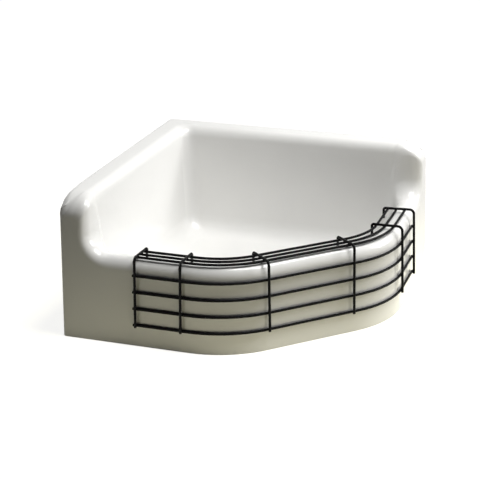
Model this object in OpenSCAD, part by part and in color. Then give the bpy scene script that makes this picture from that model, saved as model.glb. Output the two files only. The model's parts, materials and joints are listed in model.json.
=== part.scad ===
/* [Basin] */
// Length of each back wall, from the room's corner to the wall's end
wall_len = 711; // [680:1:740]
// Height of the two back walls
wall_h = 333; // [318:1:360]
// Height of the low front rim
front_h = 204; // [196:1:212]
// Distance from each back wall to where the cut front would meet the return
return_len = 408; // [396:1:424]
// Plan radius that blends each return into the cut front
bend_r = 235; // [215:1:270]
// Radius of the basin's upright outer corners
corner_r = 11; // [9:1:14]
// Thickness of the casting
shell_t = 6.5; // [5:0.5:8]
// How far the front aprons lean in over the height of the back walls
apron_lean = 13; // [6:1:18]

/* [Rim] */
// Width of the rim on the back walls, to the inner wall
wall_rim = 62; // [58:1:70]
// Width of the low front rim, to the inner wall
front_rim = 57; // [52:1:60]
// Small radius on the outer edge of the back walls' rim
edge_r = 5; // [3:0.5:6]
// Height of the roll over which the rim falls into the basin
inner_roll = 25; // [20:1:30]
// Depth of the front rim's outer roll, from the apron to the crest
roll_d = 27; // [24:1:30]
// Height of the front rim's outer roll
roll_h = 28; // [24:1:32]

/* [Wall ends] */
// Width of the flat end face of each back wall
post_w = 46; // [42:1:50]
// Radius at the top of the end face's inner edge
post_r = 14; // [10:1:18]
// How far the shoulder at the wall's end reaches back
shoulder_d = 62; // [54:1:70]
// How far the shoulder drops
shoulder_h = 46; // [38:1:52]
// Radius to which the outer edge grows on the shoulder
shoulder_edge_r = 14; // [8:1:16]
// Width of the roll down the inner side of the wall's end
side_roll = 20; // [17:1:23]
// Radius of the sweep from the wall's end down to the front rim
sweep_r = 73; // [62:1:80]

/* [Bowl] */
// Height of the bowl's floor at the drain
floor_z = 46; // [44:1:60]
// Rise of the floor from the drain to the foot of the walls
floor_rise = 6; // [3:1:9]
// Radius of the cove between the walls and the floor
cove_r = 50; // [36:1:60]
// Slope of the bowl's back walls, in degrees
wall_slope = 5; // [3:0.5:7]
// Slope of the bowl's front walls, in degrees
front_slope = 8; // [5:0.5:10]
// Plan radius of the bowl's upright back corner
back_blend = 30; // [24:1:40]
// Plan radius of the bowl's two upright side corners
side_blend = 38; // [32:1:46]

/* [Drain] */
// Distance from each back wall to the middle of the drain
drain_in = 330; // [310:1:350]
// Radius of the waste pipe that the drain takes
pipe_r = 44.45; // [40:0.05:46]
// Radius of the drain body's threaded shank
shank_r = 54; // [53:0.5:56]
// Wall of the drain body's shank
shank_wall = 4; // [3:0.5:4.5]
// Height of the drain body's lower end above the floor
shank_z = 8; // [5:0.5:10]
// Radius of the drain body's flange
flange_r = 74; // [72:0.5:78]
// Thickness of the drain body's flange
flange_t = 6; // [5:0.5:7]
// Radius of the lift-out strainer
strainer_r = 64; // [62:0.5:68]
// Thickness of the strainer
strainer_t = 2; // [1.5:0.25:2.5]
// Radius of one strainer hole
strainer_hole_r = 3.2; // [2.5:0.1:4]
// Thickness of the seal under the flange
seal_t = 1.5; // [1:0.25:2.5]
// Thickness of the rubber gasket under the basin
gasket_t = 3; // [2:0.5:4]
// Thickness of the fibre washer
washer_t = 1.5; // [1:0.25:2]
// Height of the locknut
locknut_h = 8; // [6:0.5:9]
// Height of the rubber ring that grips the waste pipe
pipe_ring_h = 14; // [10:0.5:15]
// Height of the ring nut that squeezes the rubber ring
ring_nut_h = 6; // [4:0.5:7]

/* [Wire guard] */
// Diameter of the coated wire
wire_d = 6.2; // [5:0.1:7]
// Height of the lowest long wire
guard_low = 52; // [42:1:56]
// Spacing of the long wires on the apron
guard_pitch = 39.5; // [36:0.5:41]
// Distance from the apron's face back to the first long wire on the rim
top_first = 15; // [12:0.5:17]
// Centreline radius of the hoops' bend over the rim's front
hoop_bend_r = 11; // [8:0.5:14]
// Centreline radius of the hoops' bend at the back
hoop_back_r = 5; // [4:0.5:9]
// Length of the hoops' tail inside the bowl, below the hoop's top
hoop_tail = 26; // [20:1:34]
// Gap between the hoops' tails and the rim's inner side
tail_gap = 5.5; // [2:0.5:8]
// Distance of the left front hoop from the middle of the cut front, along the base
left_front_s = 115; // [95:1:130]
// Distance of the left middle hoop
left_middle_s = 316; // [295:1:330]
// Distance of the left end hoop
left_end_s = 425; // [400:1:440]
// Distance of the right front hoop
right_front_s = 105; // [90:1:120]
// Distance of the right middle hoop
right_middle_s = 282; // [265:1:300]
// Distance of the right end hoop
right_end_s = 410; // [390:1:430]
// How far the long wires stick out past the end hoops
wire_tip = 8; // [6:0.5:12]

/* [Clearances] */
// Gap between the guard and the enamel
guard_gap = 0.5; // [0.3:0.1:0.8]
// Gap between crossing wires
weld_gap = 0.05; // [0.02:0.01:0.1]
// Radial gap of the drain's shank in the basin's hole
hole_gap = 2; // [1:0.5:3]
// Radial gap between parts that thread or drop into each other
thread_gap = 0.1; // [0.05:0.05:0.3]
// Radial gap round the lift-out strainer and in the flange's recess
seat_gap = 0.6; // [0.4:0.1:1]
// Radial gap between the waste pipe and the rubber ring
pipe_gap = 0.15; // [0.1:0.05:0.3]

/* [Hidden] */

$fn = 64;
wire_fn = 32;
wire_r = wire_d / 2;

// Everything below is worked out with the room's corner at the origin,
// the left wall on x = 0 and the right wall on y = 0.

// Where each return's straight face ends and the plan bend begins
bend_x = return_len - bend_r * tan(22.5);
// Half the straight length of the cut front, and the length of one bend
front_half = (wall_len - return_len) / sqrt(2) - bend_r * tan(22.5);
bend_len = bend_r * PI / 4;
// Height at which the flat apron ends under the front roll
face_z = front_h - roll_h;
// Height at which the flat end face of a back wall ends under the shoulder
post_z = wall_h - shoulder_h;
// Foot of the bowl's walls
floor_edge_z = floor_z + floor_rise;
cove_top_z = floor_edge_z + cove_r;
// Width of the level strip on top of the back walls' rim
rim_flat = wall_rim - inner_roll;
// Crest of the roll down the inner side of a wall's end
crest_x = post_w + side_roll;
// The crest runs level over crest_flat before it turns down the wall's end
crest_flat = 2;
crest_start = rim_flat + 1;
crest_r = crest_x - crest_start - crest_flat;
// Centre of the sweep down to the front rim
sweep_x = post_w + sweep_r;
sweep_z = face_z + sweep_r;
// Reach along the back wall over which the sections fan out, the lead of that
// fan on the shoulder, and its two last steps on the bowl's wall
fan_len = 150;
fan_lead = 10;
fan_step = 14;
fan_last = 6;
// How much deeper the roll is on a wall's end than on the front rim
post_roll_d = roll_d + 4;
// How far a cutting body reaches past the face that it cuts
cut = 1;
// Inward set of the front faces at the height of the two rims
front_set = apron_lean * front_h / wall_h;
post_set = apron_lean * post_z / wall_h;

function mix(a, b, t) = a + (b - a) * t;
function ease(t) = t * t * (3 - 2 * t);
function arc_point(centre, r, a) = centre + r * [cos(a), sin(a)];
function unit(v) = v / norm(v);
function face_in(z) = apron_lean * z / wall_h;

// Inner walls of the bowl: distance from the outer faces at height z
function wall_in(z) = wall_rim + (wall_h - inner_roll - z) * tan(wall_slope);
function front_in(z) = front_set + front_rim + (front_h - inner_roll - z) * tan(front_slope);

// The outline is cut into zones, walked from the back corner along the left
// wall and its return to the middle of the cut front. The rest is mirrored.
CORNER = 0;
WALL = 1;
WALL_END = 2;
END_CORNER = 3;
POST_TOP = 4;
POST_SHOULDER = 5;
POST_SIDE = 6;
SWEEP = 7;
RETURN = 8;
BEND = 9;
FRONT = 10;
zone_steps = [4, 5, 6, 5, 3, 5, 2, 9, 5, 10, 3];
stations = concat(
    [for (zone = [CORNER:FRONT]) for (i = [0:zone_steps[zone] - 1]) [zone, i / zone_steps[zone]]],
    [[FRONT, 1]]
);

// Point on the bend or the cut front, a distance front_off inside the base outline
function front_plan(zone, t, front_off) =
    zone == BEND ? arc_point([bend_x, bend_r - wall_len], bend_r - front_off, 270 + 45 * t)
    : mix(arc_point([bend_x, bend_r - wall_len], bend_r - front_off, 315),
        [1, -1] * ((return_len + wall_len) / 2 - front_off / sqrt(2)), t);

// Outer outline: sharp upright corners, stations crowded at the wall's end
function outer_plan(zone, t, front_off) =
    zone == CORNER ? arc_point([corner_r, -corner_r], corner_r, 135 + 45 * t)
    : zone == WALL ? [0, -mix(corner_r, wall_len - fan_len, t)]
    : zone == WALL_END ? [0, -mix(wall_len - fan_len, wall_len - front_off - corner_r, t)]
    : zone == END_CORNER
        ? arc_point([corner_r, front_off + corner_r - wall_len], corner_r, 180 + 90 * t)
    : zone <= RETURN ? [face_curve(zone, t)[0], front_off - wall_len]
    : front_plan(zone, t, front_off);

// Bowl outline: the stations of the wall's end share the upright side corner
function bowl_plan(zone, t, wall_off, front_off) =
    let (
        side_y = wall_len - front_off - side_blend,
        side_centre = [wall_off + side_blend, -side_y],
        wall_start = wall_off + back_blend,
        fan_y = mix(wall_start, side_y, 0.82)
    )
    zone == CORNER
        ? arc_point([1, -1] * (wall_off + back_blend), back_blend, 135 + 45 * t)
    : zone == WALL ? [wall_off, -mix(wall_start, fan_y, t)]
    : zone == WALL_END ? [wall_off, -mix(fan_y, side_y - fan_step, t)]
    : zone == END_CORNER ? [wall_off, -mix(side_y - fan_step, side_y - fan_last, t)]
    : zone == POST_TOP ? [wall_off, -mix(side_y - fan_last, side_y, t)]
    : zone == POST_SHOULDER ? arc_point(side_centre, side_blend, 180 + 14 * t)
    : zone == POST_SIDE ? arc_point(side_centre, side_blend, 194 + 8 * t)
    : zone == SWEEP ? arc_point(side_centre, side_blend, 202 + 68 * t)
    : zone == RETURN ? [mix(wall_off + side_blend, bend_x, t), front_off - wall_len]
    : front_plan(zone, t, front_off);

// Where the flat faces end and the rim's roll begins, as [x, z] on the return's face
function face_curve(zone, t) =
    zone == POST_TOP ? [mix(corner_r, post_w - post_r, t), post_z]
    : zone == POST_SHOULDER ? arc_point([post_w - post_r, post_z - post_r], post_r, 90 - 90 * t)
    : zone == POST_SIDE ? [post_w, mix(post_z - post_r, sweep_z, t)]
    : zone == SWEEP ? arc_point([sweep_x, sweep_z], sweep_r, 180 + 90 * t)
    : zone == RETURN ? [mix(sweep_x, bend_x, t), face_z]
    : [undef, face_z];

// The roll's crest, as [x, z] in the same view
function crest_curve(zone, t) =
    zone == POST_TOP ? [mix(crest_start, crest_x - crest_r, t), wall_h]
    : zone == POST_SHOULDER ? arc_point([crest_x - crest_r, wall_h - crest_r], crest_r, 90 - 90 * t)
    : zone == POST_SIDE ? [crest_x, mix(wall_h - crest_r, sweep_z, t)]
    : zone == SWEEP
        ? arc_point([sweep_x, sweep_z], sweep_r - mix(side_roll, roll_h, t), 180 + 90 * t)
    : zone == RETURN ? [mix(sweep_x, bend_x, t), front_h]
    : [undef, front_h];

// Depth of the roll, from the face to the crest
function roll_depth(zone, t) =
    zone <= POST_TOP ? shoulder_d
    : zone == POST_SHOULDER ? mix(shoulder_d, post_roll_d, ease(t))
    : zone == POST_SIDE ? post_roll_d
    : zone == SWEEP ? mix(post_roll_d, roll_d, t)
    : roll_d;

// Height of the shoulder at a depth d behind the end face
function shoulder_z(d) =
    wall_h - shoulder_h * (1 - sqrt(1 - pow(max(0, shoulder_d - max(0, d)) / shoulder_d, 2)));

// Crest of the rim at a station
function crest_point(zone, t) =
    let (shoulder_y = wall_len - post_set - shoulder_d)
    zone == CORNER ? concat(arc_point([1, -1] * (rim_flat + back_blend), back_blend, 135 + 45 * t), wall_h)
    : zone == WALL ? [rim_flat, -mix(rim_flat + back_blend, wall_len - fan_len, t), wall_h]
    : zone == WALL_END ? [rim_flat, -mix(wall_len - fan_len, shoulder_y - fan_lead, t), wall_h]
    : zone == END_CORNER
        ? [mix(rim_flat, crest_start, t), -mix(shoulder_y - fan_lead, shoulder_y, t), wall_h]
    : zone <= RETURN
        ? let (c = crest_curve(zone, t))
            [c[0], post_set * (zone < SWEEP ? 1 : mix(1, front_set / post_set, zone == SWEEP ? t : 1))
                + roll_depth(zone, t) - wall_len, c[1]]
    : concat(front_plan(zone, t, front_set + roll_d), front_h);

// Outer side of the rim, from the face at k = 0 to the crest at k = 1.
// A back wall has a small edge radius and a level strip, the front a full roll.
function wall_rim_point(zone, t, k) =
    let (
        foot = outer_plan(zone, t, post_set),
        crest = crest_point(zone, t),
        inward = zone == CORNER ? unit([corner_r, -corner_r] - foot)
            : zone == END_CORNER ? [cos(90 * t), sin(90 * t)] : [1, 0],
        edge_k = 0.4,
        a = 90 * min(1, k / edge_k),
        r = zone < WALL_END ? edge_r : mix(edge_r, shoulder_edge_r, zone == WALL_END ? ease(t) : 1),
        start = foot + inward * r * (1 - cos(a)),
        plan = mix(start, [crest[0], crest[1]], ease(max(0, k - edge_k) / (1 - edge_k))),
        depth = plan[1] + wall_len - post_set
    )
    [plan[0], plan[1], shoulder_z(depth) - r * (1 - sin(a))];

function front_rim_point(zone, t, k) =
    let (
        a = 90 * k,
        crest = crest_point(zone, t),
        face = zone == END_CORNER ? [outer_plan(zone, t, post_set)[0], post_z] : face_curve(zone, t),
        set = face_in(face[1]),
        z = mix(face[1], crest[2], sin(a))
    )
    zone < BEND
        ? [mix(face[0], crest[0], sin(a)), mix(outer_plan(zone, t, set)[1], crest[1], 1 - cos(a)), z]
        : concat(front_plan(zone, t, mix(set, front_set + roll_d, 1 - cos(a))), z);

function rim_point(zone, t, k) =
    zone < END_CORNER ? wall_rim_point(zone, t, k)
    : zone == END_CORNER ? mix(wall_rim_point(zone, t, k), front_rim_point(zone, t, k), ease(t))
    : front_rim_point(zone, t, k);

// Point on the bowl's wall at height z
function bowl_point(zone, t, z) = concat(bowl_plan(zone, t, wall_in(z), front_in(z)), z);

// Height where the rim's inner roll meets the bowl's wall
function wall_top_z(zone, t) = crest_point(zone, t)[2] - inner_roll;

// Inner roll: a smooth curve from the crest to the top of the bowl's wall
function inner_roll_point(zone, t, k) =
    let (
        c = crest_point(zone, t),
        w = bowl_point(zone, t, wall_top_z(zone, t)),
        reach = 0.55,
        c2 = [mix(c[0], w[0], reach), mix(c[1], w[1], reach), c[2]],
        w2 = [w[0], w[1], mix(w[2], c[2], reach)],
        u = 1 - k
    )
    u * u * u * c + 3 * u * u * k * c2 + 3 * u * k * k * w2 + k * k * k * w;

// Cove from the wall at k = 0 to the floor at k = 1
function cove_point(zone, t, k) =
    let (
        a = 90 * k,
        in = cove_r * (1 - cos(a)),
        z = floor_edge_z + cove_r * (1 - sin(a))
    )
    concat(bowl_plan(zone, t, wall_in(cove_top_z) + in, front_in(cove_top_z) + in), z);

// Ring round the drain, a radius r from its middle at height z
drain_xy = [drain_in, -drain_in];
function drain_ring_point(zone, t, r, z) =
    let (foot = cove_point(zone, t, 1))
    concat(drain_xy + r * unit([foot[0], foot[1]] - drain_xy), z);

// Flat land round the drain, and the boss under it with its sloping side
land_r = flange_r + 10;
boss_slope = 12;
recess_d = flange_t + seal_t;
recess_z = floor_z - recess_d;
boss_z = recess_z - shell_t;

// Visible skin, from the foot of the apron over the rim to the drain's land
rim_steps = 8;
roll_steps = 5;
cove_steps = 5;
function skin_column(zone, t) = concat(
    [concat(outer_plan(zone, t, 0), 0)],
    [for (i = [0:rim_steps]) rim_point(zone, t, i / rim_steps)],
    [for (i = [1:roll_steps]) inner_roll_point(zone, t, i / roll_steps)],
    [for (k = [0.5]) bowl_point(zone, t, mix(wall_top_z(zone, t), cove_top_z, k))],
    [for (i = [0:cove_steps]) cove_point(zone, t, i / cove_steps)],
    [mix(cove_point(zone, t, 1), drain_ring_point(zone, t, land_r, floor_z), 0.5)],
    [drain_ring_point(zone, t, land_r, floor_z)]
);
FACE_TOP = 1;
ROLL_MID = 5;
CREST = FACE_TOP + rim_steps;
ROLL_IN = CREST + 3;
WALL_TOP = CREST + roll_steps;
WALL_MID = WALL_TOP + 1;
WALL_FOOT = WALL_TOP + 2;
COVE_MID = WALL_FOOT + 2;
COVE_LOW = WALL_FOOT + 4;
FLOOR_EDGE = WALL_FOOT + cove_steps;

half_skin = [for (s = stations) skin_column(s[0], s[1])];
last = len(stations) - 1;
function flip(p) = [-p[1], -p[0], p[2]];

// Unit normal of the skin at a station and ring, pointing out of the casting
function skin_normal(i, j) =
    let (
        before = i > 0 ? half_skin[i - 1][j] : flip(half_skin[1][j]),
        after = i < last ? half_skin[i + 1][j] : flip(half_skin[last - 1][j])
    )
    unit(cross(after - before, half_skin[i][j + 1] - half_skin[i][j - 1]));
function under(i, j) = half_skin[i][j] - shell_t * skin_normal(i, j);

// Hidden skin of the hollow casting, from the boss back up and out to the apron's foot.
// The apron's inner face stops rim_drop under the skin below the crest.
rim_drop = 2;
function hidden_column(i) =
    let (
        zone = stations[i][0],
        t = stations[i][1],
        low = half_skin[i][0],
        top = half_skin[i][FACE_TOP],
        crest_z = half_skin[i][CREST][2],
        inward = unit([skin_normal(i, FACE_TOP)[0], skin_normal(i, FACE_TOP)[1]]),
        step = zone == CORNER ? unit([corner_r, -corner_r] - [low[0], low[1]])
            : zone == END_CORNER ? [cos(90 * t), sin(90 * t)]
            : zone <= WALL_END ? [1, 0]
            : zone <= RETURN ? [0, 1] : -inward
    )
    [
        drain_ring_point(zone, t, land_r, boss_z),
        drain_ring_point(zone, t, land_r + boss_slope, floor_z - shell_t),
        under(i, FLOOR_EDGE),
        under(i, COVE_MID),
        under(i, WALL_FOOT),
        under(i, WALL_MID),
        under(i, WALL_TOP),
        under(i, ROLL_IN),
        under(i, CREST),
        [top[0] + step[0] * shell_t, top[1] + step[1] * shell_t, min(top[2], crest_z - shell_t - rim_drop)],
        [low[0] + step[0] * shell_t, low[1] + step[1] * shell_t, 0]
    ];

half_columns = [for (i = [0:last]) concat(hidden_column(i), half_skin[i])];
// The whole outline: one half, then its mirror image without the shared ends
columns = concat(
    half_columns,
    [for (i = [last - 1:-1:1]) [for (p = half_columns[i]) flip(p)]]
);

// A closed skin through the columns, with a fan over the first and last ring
module column_skin(columns) {
    count = len(columns);
    rings = len(columns[0]);
    half = count / 2;
    points = concat(
        [for (column = columns) for (p = column) p],
        [concat(drain_xy, columns[0][0][2]), concat(drain_xy, columns[0][rings - 1][2])]
    );
    sides = [
        for (i = [0:count - 1])
            for (j = [0:rings - 2])
                let (
                    a = i * rings + j,
                    b = (i + 1) % count * rings + j
                )
                each i < half
                    ? [[a, a + 1, b + 1], [a, b + 1, b]]
                    : [[a, a + 1, b], [a + 1, b + 1, b]]
    ];
    fans = [
        for (i = [0:count - 1])
            let (
                a = i * rings,
                b = (i + 1) % count * rings
            )
            each [[count * rings, a, b], [count * rings + 1, b + rings - 1, a + rings - 1]]
    ];
    polyhedron(points, concat(sides, fans), convexity = 8);
}

// The hoops are bent square and lean with the apron, so they are set out in the
// apron's own plane: x out from its face and up along it, from the base outline
lean_a = atan(apron_lean / wall_h);
function lean_out(x, up) = x * cos(lean_a) - up * sin(lean_a);
function lean_z(x, up) = x * sin(lean_a) + up * cos(lean_a);
function up_face(x, z) = (z - x * sin(lean_a)) / cos(lean_a);
apron_wire_x = guard_gap + wire_r;
leg_x = apron_wire_x + wire_d + weld_gap;
leg_foot_up = up_face(leg_x, guard_low - wire_r);
rim_wire_up = up_face(-roll_d, front_h + guard_gap + wire_r);
hoop_up = rim_wire_up + wire_d + weld_gap;
tail_x = -(front_rim + tail_gap + wire_r);
apron_wire_z = [for (i = [0:3]) guard_low + i * guard_pitch];
// On the rim the innermost wire lies where the hoops' back bend begins
rim_wire_x = [for (i = [0:2]) mix(-top_first, tail_x + hoop_back_r + wire_r, i / 2)];

// Point of the base outline a distance s from the middle of the cut front,
// positive toward the right return, and the direction it faces there
function along_angle(s) =
    let (a = max(0, min(45, (abs(s) - front_half) / bend_len * 45)))
    s < 0 ? 315 - a : 315 + a;
function along_point(s) =
    let (
        q = abs(s),
        middle = [1, -1] * (return_len + wall_len) / 2,
        centre = [wall_len - bend_r, -bend_x],
        p = q <= front_half ? middle + q * [1, 1] / sqrt(2)
            : q <= front_half + bend_len
                ? arc_point(centre, bend_r, 315 + (q - front_half) / bend_len * 45)
            : [wall_len, q - front_half - bend_len - bend_x]
    )
    s < 0 ? [-p[1], -p[0]] : p;
left_tip_x = along_point(-left_end_s - wire_tip)[0];
right_tip_y = along_point(right_end_s + wire_tip)[1];

// The part stands on z = 0 with the middle of its overall box on the z axis
guard_proud = lean_out(leg_x + wire_r, leg_foot_up);
middle_xy = (wall_len + guard_proud) / 2;
module place() {
    translate([-middle_xy, middle_xy, 0]) children();
}
module at_drain(z) {
    place() translate([drain_in, -drain_in, z]) children();
}

// Long wire that follows the rim at height z, set out from the base outline.
// It is drawn from the middle of the cut front out to each return.
module long_wire(z, out) {
    r = bend_r + out;
    middle = (return_len + wall_len) / 2 + out / sqrt(2);
    tails = [bend_x - left_tip_x, right_tip_y + bend_x];
    color("#151515") place() translate([middle, -middle, z]) rotate([0, 0, 45])
        for (side = [0:1]) mirror([1 - side, 0, 0]) {
            rotate([0, 90, 0]) cylinder(r = wire_r, h = front_half, $fn = wire_fn);
            translate([front_half, r, 0]) {
                rotate([0, 0, -90]) rotate_extrude(angle = 45, $fn = 240)
                    translate([r, 0]) circle(r = wire_r, $fn = wire_fn);
                rotate([0, 0, -45]) translate([r, 0, 0]) rotate([-90, 0, 0])
                    cylinder(r = wire_r, h = tails[side], $fn = wire_fn);
            }
        }
}

// Square bend in a wire, about the z axis
module bend(r) {
    rotate_extrude(angle = 90, $fn = 96) translate([r, 0]) circle(r = wire_r, $fn = wire_fn);
}

// Hoop, drawn from the top of its front bend: straight over the rim, then the
// front bend with the leg down the apron, and the back bend with the tail
module hoop(s) {
    top_x = leg_x - hoop_bend_r;
    top_len = top_x - tail_x - hoop_back_r;
    leg_len = hoop_up - hoop_bend_r - leg_foot_up;
    color("#101010") place() translate(along_point(s)) rotate([0, -lean_a, along_angle(s)])
        translate([top_x, 0, hoop_up]) rotate([90, 0, 0]) {
            rotate([0, -90, 0]) cylinder(r = wire_r, h = top_len, $fn = wire_fn);
            translate([0, -hoop_bend_r, 0]) {
                bend(hoop_bend_r);
                translate([hoop_bend_r, 0, 0]) rotate([90, 0, 0])
                    cylinder(r = wire_r, h = leg_len, $fn = wire_fn);
            }
            translate([-top_len, -hoop_back_r, 0]) {
                rotate([0, 0, 90]) bend(hoop_back_r);
                translate([-hoop_back_r, 0, 0]) rotate([90, 0, 0])
                    cylinder(r = wire_r, h = hoop_tail - hoop_back_r, $fn = wire_fn);
            }
        }
}

module ring(r_out, r_in, h) {
    difference() {
        cylinder(r = r_out, h = h);
        translate([0, 0, -cut]) cylinder(r = r_in, h = h + 2 * cut);
    }
}

// Enamelled iron casting, hollow from below
hole_r = shank_r + hole_gap;
module basin() {
    color("#f4f3ee") difference() {
        place() column_skin(columns);
        at_drain(recess_z) cylinder(r = flange_r + seat_gap, h = recess_d + cut, $fn = 96);
        at_drain(boss_z - cut) cylinder(r = hole_r, h = shell_t + 2 * cut, $fn = 96);
    }
}

// Drain body: flange with the strainer's seat, shank and lip
seat_z = floor_z - strainer_t;
flange_z = floor_z - flange_t;
bore_r = shank_r - shank_wall;
lip_t = 4;
lip_gap = 1.5;
lip_r = pipe_r + lip_gap;
module drain_body() {
    color("#b9bcc0") difference() {
        union() {
            at_drain(flange_z) cylinder(r = flange_r, h = flange_t, $fn = 96);
            at_drain(shank_z) cylinder(r = shank_r, h = flange_z - shank_z, $fn = 96);
        }
        at_drain(seat_z) cylinder(r = strainer_r + seat_gap, h = strainer_t + cut, $fn = 96);
        at_drain(shank_z + lip_t) cylinder(r = bore_r, h = floor_z, $fn = 96);
        at_drain(shank_z - cut) cylinder(r = lip_r, h = lip_t + 2 * cut, $fn = 96);
    }
}

// Lift-out strainer: a drilled plate with a turned-down rim
hole_pitch = 13;
module drain_strainer() {
    color("#c9ccd0") at_drain(seat_z) difference() {
        cylinder(r = strainer_r, h = strainer_t, $fn = 96);
        translate([0, 0, -cut]) cylinder(r = strainer_hole_r, h = strainer_t + 2 * cut, $fn = 24);
        for (row = [1:3]) for (i = [0:6 * row - 1]) rotate([0, 0, i * 60 / row])
            translate([row * hole_pitch, 0, -cut])
            cylinder(r = strainer_hole_r, h = strainer_t + 2 * cut, $fn = 24);
    }
}

// Seal and washer stop short of the metal edge that squeezes them
edge_set = 1;
module flange_seal() {
    color("#3a3a38") at_drain(recess_z) ring(flange_r - edge_set, hole_r, seal_t);
}

gasket_z = boss_z - gasket_t;
washer_z = gasket_z - washer_t;
locknut_z = washer_z - locknut_h;
nut_bore_r = shank_r + thread_gap;
gasket_w = 14;
gasket_r = shank_r + gasket_w;
gasket_bore_r = nut_bore_r + 0.4;
module basin_gasket() {
    color("#2b2b2b") at_drain(gasket_z) ring(gasket_r, gasket_bore_r, gasket_t);
}

module fibre_washer() {
    color("#8a5a3a") at_drain(washer_z) ring(gasket_r - edge_set, gasket_bore_r, washer_t);
}

// Locknut with lugs for a spanner
lug_count = 8;
lug_w = 10;
lug_reach = 5;
lug_step = 2;
module drain_locknut() {
    color("#b08d4a") at_drain(locknut_z) difference() {
        union() {
            cylinder(r = gasket_r - lug_reach, h = locknut_h);
            for (i = [0:lug_count - 1]) rotate([0, 0, i * 360 / lug_count])
                translate([0, -lug_w / 2, 0]) cube([gasket_r, lug_w, locknut_h - lug_step]);
        }
        translate([0, 0, -cut]) cylinder(r = nut_bore_r, h = locknut_h + 2 * cut);
    }
}

// Rubber ring that seals round the waste pipe, on the body's lip
pipe_ring_z = shank_z + lip_t;
module pipe_ring() {
    color("#1f1f1f") at_drain(pipe_ring_z) ring(bore_r - thread_gap, pipe_r + pipe_gap, pipe_ring_h);
}

// Ring nut with notches, screwed down on the rubber ring
notch_count = 4;
notch_w = 8;
notch_d = 2;
ring_nut_gap = 1;
module ring_nut() {
    color("#c29b52") at_drain(pipe_ring_z + pipe_ring_h) difference() {
        ring(bore_r - thread_gap, pipe_r + ring_nut_gap, ring_nut_h);
        for (i = [0:notch_count - 1]) rotate([0, 0, i * 360 / notch_count])
            translate([0, -notch_w / 2, ring_nut_h - notch_d]) cube([bore_r, notch_w, notch_d + cut]);
    }
}

module rim_wire(i) {
    long_wire(lean_z(rim_wire_x[i], rim_wire_up), lean_out(rim_wire_x[i], rim_wire_up));
}

module apron_wire(i) {
    z = apron_wire_z[i];
    long_wire(z, lean_out(apron_wire_x, up_face(apron_wire_x, z)));
}

basin();
drain_body();
drain_strainer();
flange_seal();
basin_gasket();
fibre_washer();
drain_locknut();
pipe_ring();
ring_nut();
rim_wire(0);  // rim_wire_outer
rim_wire(1);  // rim_wire_middle
rim_wire(2);  // rim_wire_inner
apron_wire(0);  // apron_wire_1
apron_wire(1);  // apron_wire_2
apron_wire(2);  // apron_wire_3
apron_wire(3);  // apron_wire_4
hoop(-left_end_s);  // hoop_left_end
hoop(-left_middle_s);  // hoop_left_middle
hoop(-left_front_s);  // hoop_left_front
hoop(right_front_s);  // hoop_right_front
hoop(right_middle_s);  // hoop_right_middle
hoop(right_end_s);  // hoop_right_end
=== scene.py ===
import json
from math import cos, radians, sin, sqrt, tan

import bmesh
import bpy
from mathutils import Matrix, Vector

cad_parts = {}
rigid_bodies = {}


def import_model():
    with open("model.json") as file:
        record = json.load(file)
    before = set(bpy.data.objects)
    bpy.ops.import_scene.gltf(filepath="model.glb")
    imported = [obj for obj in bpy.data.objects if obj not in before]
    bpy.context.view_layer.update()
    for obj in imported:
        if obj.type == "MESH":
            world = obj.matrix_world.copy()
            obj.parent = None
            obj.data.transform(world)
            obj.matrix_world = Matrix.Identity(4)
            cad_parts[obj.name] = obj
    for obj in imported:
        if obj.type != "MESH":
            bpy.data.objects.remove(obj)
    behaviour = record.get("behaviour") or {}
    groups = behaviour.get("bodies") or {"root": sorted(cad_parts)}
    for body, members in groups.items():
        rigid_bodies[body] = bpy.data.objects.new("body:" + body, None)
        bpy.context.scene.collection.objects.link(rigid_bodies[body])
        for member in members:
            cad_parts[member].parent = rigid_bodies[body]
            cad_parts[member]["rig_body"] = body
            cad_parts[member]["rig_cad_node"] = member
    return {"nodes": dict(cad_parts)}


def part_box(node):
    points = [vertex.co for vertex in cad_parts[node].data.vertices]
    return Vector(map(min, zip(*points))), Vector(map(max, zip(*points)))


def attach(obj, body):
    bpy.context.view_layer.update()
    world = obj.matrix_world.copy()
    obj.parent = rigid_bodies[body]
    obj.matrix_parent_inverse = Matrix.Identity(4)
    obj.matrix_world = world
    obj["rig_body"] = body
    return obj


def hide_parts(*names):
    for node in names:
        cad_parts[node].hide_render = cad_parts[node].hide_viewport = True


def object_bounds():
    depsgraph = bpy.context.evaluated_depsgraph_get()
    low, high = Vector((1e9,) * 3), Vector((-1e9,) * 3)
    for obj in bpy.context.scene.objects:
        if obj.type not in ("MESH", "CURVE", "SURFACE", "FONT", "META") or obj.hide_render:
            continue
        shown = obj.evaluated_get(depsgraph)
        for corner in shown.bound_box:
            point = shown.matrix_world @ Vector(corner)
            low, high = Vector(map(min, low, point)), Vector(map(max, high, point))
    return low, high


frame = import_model()
nodes = frame["nodes"]
cad_box = [list(corner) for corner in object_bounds()]


# Camera. A long lens stands 18 degrees round from the left return's face, on the
# side of the cut front, and looks down on the bowl by 20 degrees. The shift only
# frames the view.
view_turn = radians(18.004)
view_drop = radians(20.504)
view_roll = radians(-0.095)
view_distance = 3.3859
sink_middle = Vector((-0.0055, 0.0055, 0.150))
frame_px = 480
lens_px = 1390.4
shift_x_px = -15.574
shift_y_px = 0.196
sensor_mm = 36

view_back = Vector((
    sin(view_turn) * cos(view_drop),
    -cos(view_turn) * cos(view_drop),
    sin(view_drop),
))
level_right = (-view_back).cross(Vector((0, 0, 1))).normalized()
level_up = level_right.cross(-view_back)
camera_right = cos(view_roll) * level_right + sin(view_roll) * level_up
camera_up = cos(view_roll) * level_up - sin(view_roll) * level_right

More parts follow.
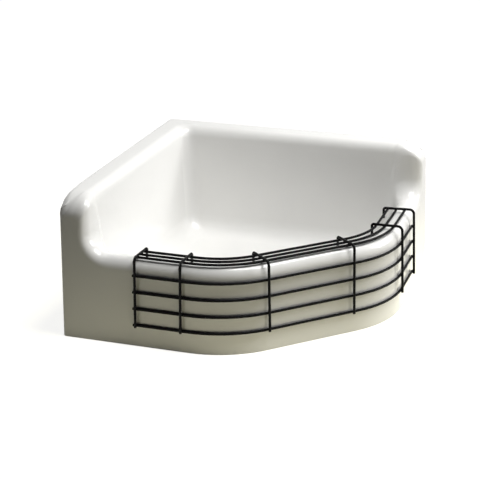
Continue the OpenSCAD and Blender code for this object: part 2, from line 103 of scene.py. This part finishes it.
camera_data = bpy.data.cameras.new("camera")
camera_data.sensor_width = sensor_mm
camera_data.lens = lens_px / frame_px * sensor_mm
camera_data.shift_x = shift_x_px / frame_px
camera_data.shift_y = shift_y_px / frame_px
camera_data.clip_end = 50
camera = bpy.data.objects.new("camera", camera_data)
bpy.context.scene.collection.objects.link(camera)
axes = Matrix((camera_right, camera_up, view_back)).transposed().to_4x4()
camera.matrix_world = Matrix.Translation(sink_middle + view_back * view_distance) @ axes
bpy.context.scene.camera = camera
bpy.context.scene.view_settings.view_transform = "Standard"


# Basin: one iron casting, enamelled white wherever it shows and left as bare
# cast iron underneath. The casting's own mesh is welded and shaded smooth, so
# that the rolls and coves run into the flat faces as poured enamel does.
enamel_white = (0.885, 0.88, 0.865)
iron_grey = (0.085, 0.08, 0.075)
merge_distance = 1e-6
roll_smoothing = radians(38)
flat_face_weight = 60


def deselect_all():
    bpy.ops.object.select_all(action="DESELECT")


def select_only(piece):
    deselect_all()
    piece.select_set(True)
    bpy.context.view_layer.objects.active = piece


def copy_of_node(name, piece_name):
    """A merged copy of a node's mesh, free to be shaped, as a piece of its own."""
    piece = nodes[name].copy()
    piece.data = nodes[name].data.copy()
    piece.name = piece_name
    piece.data.name = piece_name
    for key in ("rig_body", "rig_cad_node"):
        if key in piece:
            del piece[key]
    piece.parent = None
    bpy.context.scene.collection.objects.link(piece)
    select_only(piece)
    if piece.data.has_custom_normals:
        bpy.ops.mesh.customdata_custom_splitnormals_clear()
    bpy.ops.object.mode_set(mode="EDIT")
    bpy.ops.mesh.select_all(action="SELECT")
    bpy.ops.mesh.remove_doubles(threshold=merge_distance)
    bpy.ops.object.mode_set(mode="OBJECT")
    piece.data.materials.clear()
    return piece


def new_finish(name):
    """A new material, its node tree, its shader and where a point lies on the piece."""
    material = bpy.data.materials.new(name)
    material.use_nodes = True
    tree = material.node_tree
    shader = tree.nodes["Principled BSDF"]
    where = tree.nodes.new("ShaderNodeTexCoord")
    return material, tree, shader, where.outputs["Object"]


# Most of what the noise gives lies between these two
noise_low = 0.3
noise_high = 0.7


def grain(tree, where, scale, detail=3.0):
    """Cloudy or fine noise over the piece."""
    noise = tree.nodes.new("ShaderNodeTexNoise")
    noise.inputs["Scale"].default_value = scale
    noise.inputs["Detail"].default_value = detail
    tree.links.new(where, noise.inputs["Vector"])
    return noise.outputs["Fac"]


def tint(tree, shader, factor, low, high):
    """Colour the surface from low to high as the factor rises."""
    ramp = tree.nodes.new("ShaderNodeValToRGB")
    ramp.color_ramp.elements[0].position = noise_low
    ramp.color_ramp.elements[1].position = noise_high
    ramp.color_ramp.elements[0].color = (*low, 1)
    ramp.color_ramp.elements[1].color = (*high, 1)
    tree.links.new(factor, ramp.inputs["Fac"])
    tree.links.new(ramp.outputs["Color"], shader.inputs["Base Color"])


def darker(colour, share):
    return tuple(share * part for part in colour)


def spread(tree, factor, low, high):
    """A number that goes from low to high as the factor rises."""
    span = tree.nodes.new("ShaderNodeMapRange")
    span.inputs["From Min"].default_value = noise_low
    span.inputs["From Max"].default_value = noise_high
    span.inputs["To Min"].default_value = low
    span.inputs["To Max"].default_value = high
    tree.links.new(factor, span.inputs["Value"])
    return span.outputs["Result"]


def dull(tree, shader, factor, low, high):
    """Roughness from low to high as the factor rises."""
    tree.links.new(spread(tree, factor, low, high), shader.inputs["Roughness"])


def roughen(tree, shader, factor, strength, distance):
    """Small bumps over the surface."""
    bump = tree.nodes.new("ShaderNodeBump")
    bump.inputs["Strength"].default_value = strength
    bump.inputs["Distance"].default_value = distance
    tree.links.new(factor, bump.inputs["Height"])
    tree.links.new(bump.outputs["Normal"], shader.inputs["Normal"])


enamel, tree, shader, where = new_finish("white_enamel")
tint(tree, shader, grain(tree, where, scale=9), darker(enamel_white, 0.985), enamel_white)
dull(tree, shader, grain(tree, where, scale=40), low=0.13, high=0.2)
shader.inputs["IOR"].default_value = 1.5
roughen(tree, shader, grain(tree, where, scale=55, detail=2), strength=0.12, distance=0.0012)

bare_iron, tree, shader, where = new_finish("bare_cast_iron")
tint(tree, shader, grain(tree, where, scale=70, detail=6), darker(iron_grey, 0.6), iron_grey)
dull(tree, shader, grain(tree, where, scale=160), low=0.62, high=0.85)
shader.inputs["Metallic"].default_value = 0.35
roughen(tree, shader, grain(tree, where, scale=420, detail=4), strength=0.6, distance=0.0012)

casting = copy_of_node("basin", "basin_casting")
casting.data.materials.append(enamel)
casting.data.materials.append(bare_iron)
mesh = bmesh.new()
mesh.from_mesh(casting.data)
# The bare side starts at the boss that faces down round the drain's hole, and
# spreads until it meets a sharp edge. The foot's face on the floor is bare too
boss_reach = 0.12
boss_low = 0.02
facing_down = -0.99
sharp_edge = radians(50)
foot_high = 0.0005
drain_low, drain_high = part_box("drain_body")
drain_middle = (drain_low + drain_high) / 2
bare = []
for face in mesh.faces:
    middle = face.calc_center_median()
    by_drain = (middle.xy - drain_middle.xy).length < boss_reach
    if face.normal.z < facing_down and middle.z > boss_low and by_drain:
        bare.append(face)
found = set(bare)
while bare:
    face = bare.pop()
    for edge in face.edges:
        for beside in edge.link_faces:
            if beside not in found and face.normal.angle(beside.normal) < sharp_edge:
                found.add(beside)
                bare.append(beside)
for face in mesh.faces:
    on_floor = face.calc_center_median().z < foot_high
    face.material_index = 1 if face in found or on_floor else 0
    face.smooth = True
mesh.to_mesh(casting.data)
mesh.free()
select_only(casting)
bpy.ops.object.shade_smooth_by_angle(angle=roll_smoothing)
weigh = casting.modifiers.new("even_shading", "WEIGHTED_NORMAL")
weigh.keep_sharp = True
weigh.weight = flat_face_weight
bpy.ops.object.modifier_apply(modifier=weigh.name)
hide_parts("basin")
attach(casting, "root")


# Drain: turned and brushed stainless steel, with a drilled strainer in its seat. A
# brass locknut, a fibre washer and a gasket draw it down on its rubber seal, and a
# brass ring nut squeezes the rubber ring on to the waste pipe.
steel_grey = (0.36, 0.36, 0.355)
brush_lines = (1, 18, 1)
rubber_black = ((0.02, 0.02, 0.02), (0.035, 0.034, 0.033))
fibre_red = ((0.2, 0.06, 0.035), (0.3, 0.1, 0.06))
brass_yellow = ((0.45, 0.32, 0.13), (0.6, 0.44, 0.19))

steel, tree, shader, where = new_finish("stainless_steel")
stretch = tree.nodes.new("ShaderNodeMapping")
stretch.inputs["Scale"].default_value = brush_lines
tree.links.new(where, stretch.inputs["Vector"])
where = stretch.outputs["Vector"]
tint(tree, shader, grain(tree, where, scale=60), darker(steel_grey, 0.9), steel_grey)
dull(tree, shader, grain(tree, where, scale=90), low=0.12, high=0.2)
shader.inputs["Metallic"].default_value = 1.0

rubber, tree, shader, where = new_finish("black_rubber")
tint(tree, shader, grain(tree, where, scale=120), *rubber_black)
dull(tree, shader, grain(tree, where, scale=200), low=0.65, high=0.85)
roughen(tree, shader, grain(tree, where, scale=600), strength=0.2, distance=0.0004)

fibre, tree, shader, where = new_finish("red_fibre")
tint(tree, shader, grain(tree, where, scale=260, detail=5), *fibre_red)
dull(tree, shader, grain(tree, where, scale=300), low=0.75, high=0.92)
roughen(tree, shader, grain(tree, where, scale=700), strength=0.25, distance=0.0004)

brass, tree, shader, where = new_finish("brass")
tint(tree, shader, grain(tree, where, scale=50, detail=4), *brass_yellow)
dull(tree, shader, grain(tree, where, scale=180), low=0.3, high=0.46)
shader.inputs["Metallic"].default_value = 1.0
roughen(tree, shader, grain(tree, where, scale=500), strength=0.12, distance=0.0003)

drain_finishes = {
    "drain_body": steel,
    "drain_strainer": steel,
    "flange_seal": rubber,
    "basin_gasket": rubber,
    "pipe_ring": rubber,
    "fibre_washer": fibre,
    "drain_locknut": brass,
    "ring_nut": brass,
}
for name, finish in drain_finishes.items():
    nodes[name].data.materials.clear()
    nodes[name].data.materials.append(finish)


# Wire guard: steel wire bent to follow the low rim, welded where wires cross,
# and dipped whole in black vinyl, which rounds the cut ends and fills the welds.
# Each hoop stands at its distance from the cut front's middle.
vinyl_black = (0.005, 0.005, 0.0055)
end_round = 0.0022
end_steps = 4
cut_end = radians(80)
wire_smoothing = radians(50)
long_wires = [
    "rim_wire_outer", "rim_wire_middle", "rim_wire_inner",
    "apron_wire_1", "apron_wire_2", "apron_wire_3", "apron_wire_4",
]
hoop_stations = {
    "hoop_left_end": -0.425,
    "hoop_left_middle": -0.316,
    "hoop_left_front": -0.115,
    "hoop_right_front": 0.105,
    "hoop_right_middle": 0.282,
    "hoop_right_end": 0.410,
}

vinyl, tree, shader, where = new_finish("black_vinyl")
tint(tree, shader, grain(tree, where, scale=30), darker(vinyl_black, 0.7), vinyl_black)
dull(tree, shader, grain(tree, where, scale=90), low=0.36, high=0.48)
shader.inputs["Specular IOR Level"].default_value = 0.06
roughen(tree, shader, grain(tree, where, scale=260, detail=2), strength=0.1, distance=0.0004)

for name in (*long_wires, *hoop_stations):
    wire = copy_of_node(name, "dipped_" + name)
    wire.data.materials.append(vinyl)
    bpy.ops.object.mode_set(mode="EDIT")
    bpy.ops.mesh.select_all(action="DESELECT")
    shape = bmesh.from_edit_mesh(wire.data)
    for edge in shape.edges:
        if len(edge.link_faces) == 2 and edge.calc_face_angle() > cut_end:
            edge.select = True
    bmesh.update_edit_mesh(wire.data)
    bpy.ops.mesh.bevel(offset=end_round, segments=end_steps, affect="EDGES", clamp_overlap=True)
    bpy.ops.object.mode_set(mode="OBJECT")
    bpy.ops.object.shade_smooth_by_angle(angle=wire_smoothing)
    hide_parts(name)
    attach(wire, "guard")


# Weld collars: each hoop is spot welded to every long wire that it crosses. The
# vinyl runs into the corner round the weld and sets there as a waisted collar.
# The crossings follow from the guard's and the rim's own sizes.
collar_r = 0.0028
collar_half = 0.0017
collar_sides = 20
collar_waist = 0.76
collar_shoulder = 0.83
wire_r = 0.0031
weld_gap = 0.00005
guard_gap = 0.0005
apron_wire_z = (0.052, 0.0915, 0.131, 0.1705)
rim_wire_x = (-0.015, -0.03625, -0.0575)
rim_roll = 0.027
front_height = 0.204
wall_len = 0.711
return_len = 0.408
bend_r = 0.235
bend_turn = radians(45)
lean = radians(2.2356)
bend_set = bend_r * tan(bend_turn / 2)
bend_start = return_len - bend_set
front_half = (wall_len - return_len) / sqrt(2) - bend_set


def up_face(x, z):
    """How far up the leaning apron a point lies that is x out and z high."""
    return (z - x * sin(lean)) / cos(lean)


def rim_frame(station):
    """Place and heading on the base outline at a distance from the cut front's middle."""
    hand = 1 if station > 0 else -1
    along = abs(station)
    turn = max(0, min(bend_turn, (along - front_half) / bend_r))
    if along < front_half:
        front_middle = Vector((wall_len + return_len, -wall_len - return_len)) / 2
        place = front_middle + along * Vector((1, 1)) / sqrt(2)
    else:
        bend_middle = Vector((wall_len - bend_r, -bend_start))
        place = bend_middle + bend_r * Vector((cos(turn - bend_turn), sin(turn - bend_turn)))
        place.y += max(0, along - front_half - bend_r * bend_turn)
    if hand < 0:
        place = Vector((-place.y, -place.x))
    corner = Vector((cad_box[0][0], cad_box[1][1]))
    heading = Matrix.Rotation(hand * turn - bend_turn, 4, "Z")
    return Matrix.Translation((*(corner + place), 0)) @ heading @ Matrix.Rotation(-lean, 4, "Y")


apron_wire_x = guard_gap + wire_r
apron_weld_x = apron_wire_x + wire_r + weld_gap / 2
rim_weld_up = up_face(-rim_roll, front_height + guard_gap + wire_r) + wire_r
facing_out = Matrix.Rotation(radians(90), 4, "Y")
seats = []
for z in apron_wire_z:
    weld_up = up_face(apron_wire_x, z)
    seats.append(Matrix.Translation((apron_weld_x, 0, weld_up)) @ facing_out)
for x in rim_wire_x:
    seats.append(Matrix.Translation((x, 0, rim_weld_up)))

deselect_all()
bpy.ops.mesh.primitive_cylinder_add(vertices=collar_sides, radius=collar_r, depth=2 * collar_half)
collar = bpy.context.object
bpy.ops.object.mode_set(mode="EDIT")
bpy.ops.mesh.select_all(action="DESELECT")
shape = bmesh.from_edit_mesh(collar.data)
for edge in shape.edges:
    edge.select = abs(edge.verts[0].co.z - edge.verts[1].co.z) > collar_half
bmesh.update_edit_mesh(collar.data)
# Three cuts leave a ring at the middle and one halfway to each end
bpy.ops.mesh.subdivide(number_cuts=3)
for low, high, width in ((0, 0.1, collar_waist), (0.4, 0.6, collar_shoulder)):
    bpy.ops.mesh.select_all(action="DESELECT")
    shape = bmesh.from_edit_mesh(collar.data)
    for vert in shape.verts:
        vert.select = low <= abs(vert.co.z) / collar_half <= high
    bmesh.update_edit_mesh(collar.data)
    bpy.ops.transform.resize(value=(width, width, 1))
bpy.ops.object.mode_set(mode="OBJECT")
bpy.ops.object.shade_smooth_by_angle(angle=wire_smoothing)
collar.data.materials.append(vinyl)

for name, station in hoop_stations.items():
    deselect_all()
    for seat in seats:
        weld = collar.copy()
        weld.data = collar.data.copy()
        weld.data.transform(rim_frame(station) @ seat)
        bpy.context.scene.collection.objects.link(weld)
        weld.select_set(True)
        bpy.context.view_layer.objects.active = weld
    bpy.ops.object.join()
    welds = bpy.context.object
    welds.name = "weld_collars_" + name
    welds.data.name = welds.name
    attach(welds, "guard")
bpy.data.objects.remove(collar)


# Floor: a sheet of pale matt paper. It is looked at as white, and the light that
# it throws back up on to the shaded faces is warm and fades away from the sink.
paper_near = (0.78, 0.745, 0.545)
paper_far = (0.05, 0.045, 0.03)
paper_fade = 0.65
paper_size = 30
paper_gap = 0.0005
sink_reach = 0.2


def maths(tree, operation, *values):
    """What the operation makes of sockets and plain numbers."""
    step = tree.nodes.new("ShaderNodeMath")
    step.operation = operation
    for value, socket in zip(values, step.inputs):
        if isinstance(value, float):
            socket.default_value = value
        else:
            tree.links.new(value, socket)
    return step.outputs["Value"]


def looked_at(tree):
    """One for a ray from the camera, a mirrored one or one through glass, else nought."""
    ray = tree.nodes.new("ShaderNodeLightPath")
    mirrored = maths(tree, "MAXIMUM", ray.outputs["Is Camera Ray"], ray.outputs["Is Glossy Ray"])
    return maths(tree, "MAXIMUM", mirrored, ray.outputs["Is Transmission Ray"])


paper, tree, shader, where = new_finish("pale_floor")
shader.inputs["Roughness"].default_value = 0.9
shader.inputs["Specular IOR Level"].default_value = 0.1
distance = tree.nodes.new("ShaderNodeVectorMath")
distance.operation = "LENGTH"
tree.links.new(where, distance.inputs[0])
reach = distance.outputs["Value"]
mottle = spread(tree, grain(tree, where, scale=3), low=-0.02, high=0.02)
far = maths(tree, "MULTIPLY_ADD", reach, paper_fade, mottle)
tint(tree, shader, far, paper_near, paper_far)
lift = maths(tree, "MULTIPLY", looked_at(tree), spread(tree, far, low=0.86, high=1.0))
# The upper side stays dark under the sink, where it only shows through the drain
open_air = maths(tree, "GREATER_THAN", reach, sink_reach)
underneath = tree.nodes.new("ShaderNodeNewGeometry").outputs["Backfacing"]
bright = maths(tree, "MULTIPLY", lift, maths(tree, "MAXIMUM", open_air, underneath))
shader.inputs["Emission Color"].default_value = (1, 1, 1, 1)
tree.links.new(bright, shader.inputs["Emission Strength"])
deselect_all()
bpy.ops.mesh.primitive_plane_add(size=paper_size, location=(0, 0, -paper_gap))
floor = bpy.context.object
floor.name = "pale_floor"
floor.data.materials.append(paper)


# Light: a white backdrop with almost no light of its own, and two soft lamps. One
# stands to the right and behind, and the other hangs high up past the right side.
backdrop_warmth = (1.0, 0.97, 0.82, 1)
backdrop_glow = 0.003

world = bpy.data.worlds.new("studio")
bpy.context.scene.world = world
world.use_nodes = True
tree = world.node_tree
ambient = tree.nodes["Background"]
ambient.inputs["Color"].default_value = backdrop_warmth
ambient.inputs["Strength"].default_value = backdrop_glow
backdrop = tree.nodes.new("ShaderNodeBackground")
backdrop.inputs["Strength"].default_value = 1.0
pick = tree.nodes.new("ShaderNodeMixShader")
tree.links.new(looked_at(tree), pick.inputs["Fac"])
tree.links.new(ambient.outputs["Background"], pick.inputs[1])
tree.links.new(backdrop.outputs["Background"], pick.inputs[2])
tree.links.new(pick.outputs["Shader"], tree.nodes["World Output"].inputs["Surface"])


def soft_lamp(name, place, aim, size, power, colour):
    """A square lamp of that size, turned from its place to what it is aimed at."""
    data = bpy.data.lights.new(name, "AREA")
    data.shape = "RECTANGLE"
    data.size = size
    data.size_y = size
    data.energy = power
    data.color = colour
    lamp = bpy.data.objects.new(name, data)
    bpy.context.scene.collection.objects.link(lamp)
    turn = (Vector(aim) - Vector(place)).to_track_quat("-Z", "Y")
    lamp.matrix_world = Matrix.Translation(place) @ turn.to_matrix().to_4x4()


soft_lamp("side_lamp", place=(3.1, 1.7, 1.9), aim=(0, 0, 0.15), size=1.4, power=76, colour=(1, 1, 0.99))
soft_lamp("top_lamp", place=(0.75, 0.08, 2.5), aim=(0, 0, 0.1), size=1.3, power=58, colour=(1, 1, 0.985))
